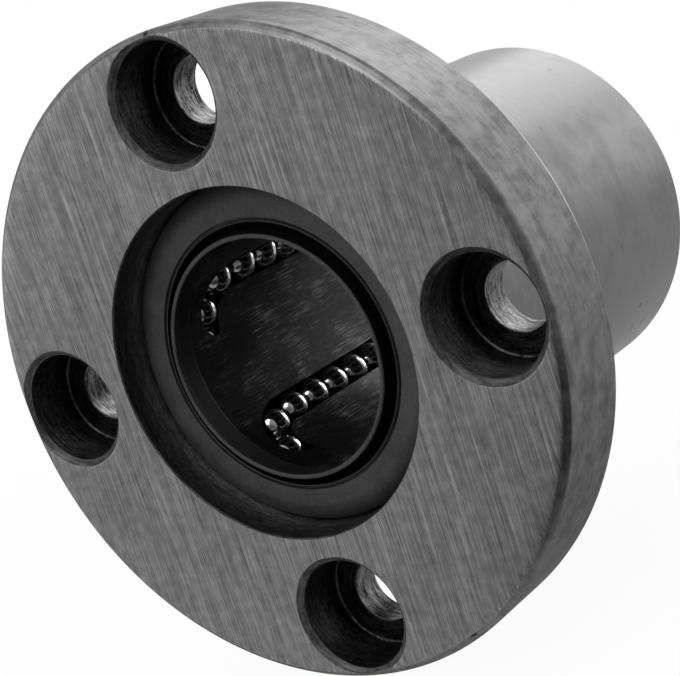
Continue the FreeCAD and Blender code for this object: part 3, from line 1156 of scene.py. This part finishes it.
@dataclass
class Studio:
    """Pale floor, pale surroundings that darken towards the camera, soft lamps and the camera.

    The floor's levels are what metal mirrors of it. Each changes smoothly over its own span.
    """

    lamps: tuple[SoftLamp, ...] = (
        SoftLamp("key_softbox", (0.0, 540.0, 430.0), 460.0, 1.2),
        SoftLamp("rear_softbox", (60.0, 600.0, 30.0), 240.0, 1.3),
        SoftLamp("fill_softbox", (-540.0, -380.0, 60.0), 420.0, 0.2),
        SoftLamp("high_softbox", (40.0, -520.0, 540.0), 450.0, 1.4))
    floor_level: float = -27.0
    floor_centre: float = 14.5
    floor_rings: tuple[float, ...] = (0.0, 60.0, 200.0, 600.0, 1500.0)
    floor_columns: int = 96
    floor_tone: str = "#e6e6e6"
    floor_glow: Span = (0.95, 1.0)
    glow_span: Span = (70.0, 220.0)
    shine_way: Point = (-0.8, 0.6, 0.0)
    shine_span: Span = (-120.0, -30.0)
    floor_shine: Span = (0.24, 0.48)
    rear_span: Span = (0.0, 100.0)
    rear_shine: Span = (0.0, 0.25)
    shade_place: Point = (38.0, -45.0, -27.0)
    shade_span: Span = (26.0, 46.0)
    floor_shade: Span = (0.1, 1.0)
    backdrop_way: Point = (-0.45, 0.88, 0.1)
    world_levels: tuple[Span, ...] = (
        (0.0, 0.12), (0.05, 0.17), (0.13, 0.42), (0.42, 0.47), (0.70, 0.72), (0.88, 1.0))
    white: float = 1.0
    image_width: float = 680.0
    sensor: float = 36.0
    camera_place: Point = (94.742, -116.012, 22.22)
    camera_right: Point = (0.778594, 0.533471, -0.330455)
    camera_up: Point = (0.151507, 0.351214, 0.923956)
    focal_pixels: float = 1863.83
    shift_pixels: Span = (31.3, 69.2)
    clip: Span = (0.005, 20.0)

    def build(self) -> None:
        """Sets the stage round the bearing."""
        bpy.context.scene.view_settings.view_transform = "Standard"
        self.add_floor()
        self.add_world()
        for lamp in self.lamps:
            lamp.build()
        self.add_camera()

    def add_floor(self) -> None:
        """A wide round floor that the rim stands on: rings of growing radius about the bearing."""
        radii = np.array(self.floor_rings)
        turns = 2 * np.pi * np.arange(self.floor_columns) / self.floor_columns
        across, along = radii[:, None] * np.cos(turns), radii[:, None] * np.sin(turns)
        grid = np.stack([across, along + self.floor_centre,
                         np.full(across.shape, self.floor_level)], axis=-1)
        skin = Skin()
        skin.add_grid(grid, 0, radii)
        floor = skin.to_object("pale_floor")
        floor.data.materials.append(self.floor_material())

    def floor_material(self) -> bpy.types.Material:
        """A pale sheet: white for the camera but for the object's shadow, grey where metal mirrors it.

        Metal mirrors it pale behind and to the left, paler still at the rear, and dark before the bore.

        Returns:
            The material.
        """
        material, tree = new_material("pale_floor_sheet")
        add = partial(add_node, tree)
        ray = add("LightPath").outputs
        mirrored = add("Math", {"operation": "MAXIMUM"},
                       {0: ray["Is Glossy Ray"], 1: ray["Is Transmission Ray"]})
        place = add("TexCoord").outputs["Object"]
        behind = add("VectorMath", {"operation": "DOT_PRODUCT", 1: self.shine_way}, {0: place})
        along = add("SeparateXYZ", links={0: place}).outputs["Y"]
        off = add("VectorMath", {"operation": "DISTANCE", 1: Vector(self.shade_place) * MM}, {0: place})
        away = add("VectorMath", {"operation": "LENGTH"}, {0: place})
        shine, rear, shade, fade = (
            add("MapRange", {"interpolation_type": "SMOOTHSTEP",
                             "From Min": span[0] * MM, "From Max": span[1] * MM,
                             "To Min": levels[0], "To Max": levels[1]}, {"Value": value})
            for value, span, levels in ((behind, self.shine_span, self.floor_shine),
                                        (along, self.rear_span, self.rear_shine),
                                        (off, self.shade_span, self.floor_shade),
                                        (away, self.glow_span, self.floor_glow)))
        pale = add("Math", {"operation": "ADD"}, {0: shine, 1: rear})
        shaded = add("Math", {"operation": "MULTIPLY"}, {0: pale, 1: shade})
        glow = add("Math", {"operation": "MULTIPLY_ADD"},
                   {0: ray["Is Camera Ray"], 1: fade, 2: mirrored})
        strength = add("Math", {"operation": "MAXIMUM"}, {0: ray["Is Camera Ray"], 1: shaded})
        sheet = add("BsdfDiffuse", {"Color": linear(self.floor_tone)})
        light = add("Emission", links={"Strength": strength})
        mixed = add("MixShader", links={0: glow, 1: sheet, 2: light})
        add("OutputMaterial", links={"Surface": mixed})
        return material

    def add_world(self) -> None:
        """White behind the bearing, grey at its sides, dark by the camera, which sees white all round.

        The levels are set by the share of the way from the camera's side to the backdrop.
        """
        world = bpy.data.worlds.new("white_studio")
        world.use_nodes = True
        tree = world.node_tree
        tree.nodes.clear()
        add = partial(add_node, tree)
        way = add("TexCoord").outputs["Generated"]
        backdrop = Vector(self.backdrop_way).normalized()
        facing = add("VectorMath", {"operation": "DOT_PRODUCT", 1: backdrop}, {0: way})
        share = add("MapRange", {"From Min": -1.0, "From Max": 1.0}, {"Value": facing})
        stops = [(place, grey(value)) for place, value in self.world_levels]
        level = add("ValToRGB", {"stops": stops}, {"Fac": share})
        ray = add("LightPath").outputs["Is Camera Ray"]
        seen = add("Mix", {"data_type": "FLOAT", 3: self.white}, {0: ray, 2: level})
        glow = add("Background", {"Color": grey(self.white)}, {"Strength": seen})
        add("OutputWorld", links={"Surface": glow})
        bpy.context.scene.world = world

    def add_camera(self) -> None:
        """Adds the camera from its place, its right and up directions and its focal length."""
        data = bpy.data.cameras.new("photo_camera")
        data.sensor_width = self.sensor
        data.lens = self.focal_pixels / self.image_width * self.sensor
        data.shift_x = -self.shift_pixels[0] / self.image_width
        data.shift_y = self.shift_pixels[1] / self.image_width
        data.clip_start, data.clip_end = self.clip
        right, up = Vector(self.camera_right), Vector(self.camera_up)
        turn = Matrix((right, up, right.cross(up))).transposed().to_4x4()
        camera = bpy.data.objects.new("photo_camera", data)
        camera.matrix_world = Matrix.Translation(Vector(self.camera_place) * MM) @ turn
        bpy.context.scene.collection.objects.link(camera)
        bpy.context.scene.camera = camera


def main() -> None:
    """Builds the studio and the bearing's pieces in order."""
    logging.basicConfig(level=logging.INFO, format="%(name)s: %(message)s")
    Studio().build()
    sleeve = SteelSleeve()
    sleeve.dress(sleeve.build())
    for end in End:
        seal = WiperSeal(end)
        seal.dress(seal.build())
    BallTracks().dress(frame["nodes"])
    log.info("retainer and balls dressed")


if __name__ == "__main__":
    main()
